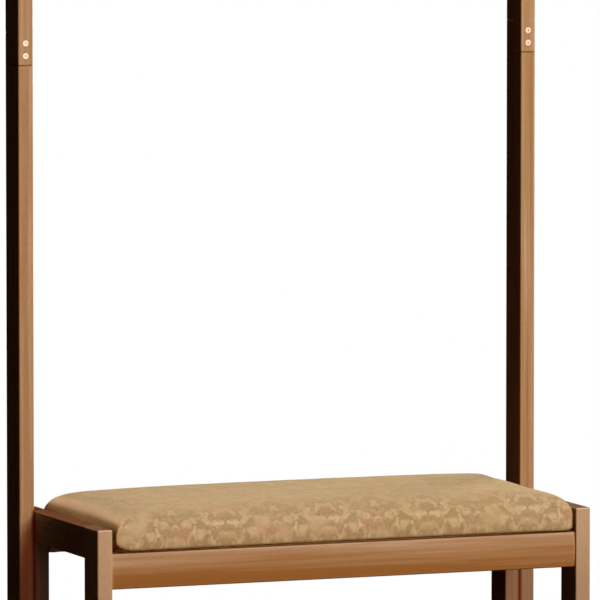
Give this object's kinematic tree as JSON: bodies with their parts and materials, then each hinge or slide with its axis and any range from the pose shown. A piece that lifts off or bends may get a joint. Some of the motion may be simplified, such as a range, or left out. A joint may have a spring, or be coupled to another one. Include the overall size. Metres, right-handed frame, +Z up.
{
  "type": "valet stand",
  "caption": "Wooden valet stand: a bench with a lift-out upholstered seat and shoe slats below, and two tall lap-jointed posts behind it that carry a top rail and a round garment rod.",
  "frame": {"origin": "on the floor under the middle of the stand's bounding box", "axes": "+X to the right along the bench, +Y to the back where the posts stand, +Z up"},
  "size_m": [0.9584, 0.37, 1.78],
  "materials": {
    "frame_wood": "brown-stained hardwood, satin lacquer",
    "inner_wood": "planed hardwood, unfinished",
    "dowel_wood": "fluted beech dowel",
    "plywood": "birch plywood",
    "seat_fabric": "tan chenille upholstery with a mottled woven pattern",
    "lining_cloth": "black non-woven lining cloth",
    "bright_screw": "pale nickel-plated screw heads",
    "zinc_steel": "zinc-plated steel",
    "insert_metal": "brass",
    "glide_nylon": "brown nylon"
  },
  "bodies": {
    "stand": {"front_leg_left": "frame_wood", "front_leg_right": "frame_wood", "rear_leg_left": "frame_wood", "rear_leg_right": "frame_wood", "side_rail_left": "frame_wood", "side_rail_right": "frame_wood", "front_rail": "frame_wood", "rear_rail": "frame_wood", "lower_stretcher_left": "frame_wood", "lower_stretcher_right": "frame_wood", "shoe_slat_front": "frame_wood", "shoe_slat_middle": "frame_wood", "shoe_slat_rear": "frame_wood", "lower_post_left": "frame_wood", "lower_post_right": "frame_wood", "upper_post_left": "frame_wood", "upper_post_right": "frame_wood", "top_rail": "frame_wood", "hanging_rod": "frame_wood", "corner_block_front_left": "inner_wood", "corner_block_front_right": "inner_wood", "corner_block_rear_left": "inner_wood", "corner_block_rear_right": "inner_wood", "seat_cleat_left": "inner_wood", "seat_cleat_right": "inner_wood", "side_rail_dowels": "dowel_wood", "lower_stretcher_dowels": "dowel_wood", "front_rail_dowels": "dowel_wood", "rear_rail_dowels": "dowel_wood", "top_rail_dowels": "dowel_wood", "lap_screws": "bright_screw", "leg_bolts": "zinc_steel", "corner_block_screws": "zinc_steel", "seat_cleat_screws": "zinc_steel", "top_rail_bolts": "zinc_steel", "hanging_rod_screws": "zinc_steel", "shoe_slat_screws": "zinc_steel", "lap_threaded_inserts": "insert_metal", "leg_threaded_inserts": "insert_metal", "top_rail_barrel_nuts": "insert_metal", "floor_glides": "glide_nylon"},
    "seat": {"seat_cushion": "seat_fabric", "seat_board": "plywood", "seat_lining": "lining_cloth", "seat_stop_blocks": "inner_wood"}
  },
  "joints": [
    {"name": "seat_lift", "type": "slide", "parent": "stand", "child": "seat", "axis": [0, 0, 1], "range_m": [0, 0.15]}
  ]
}
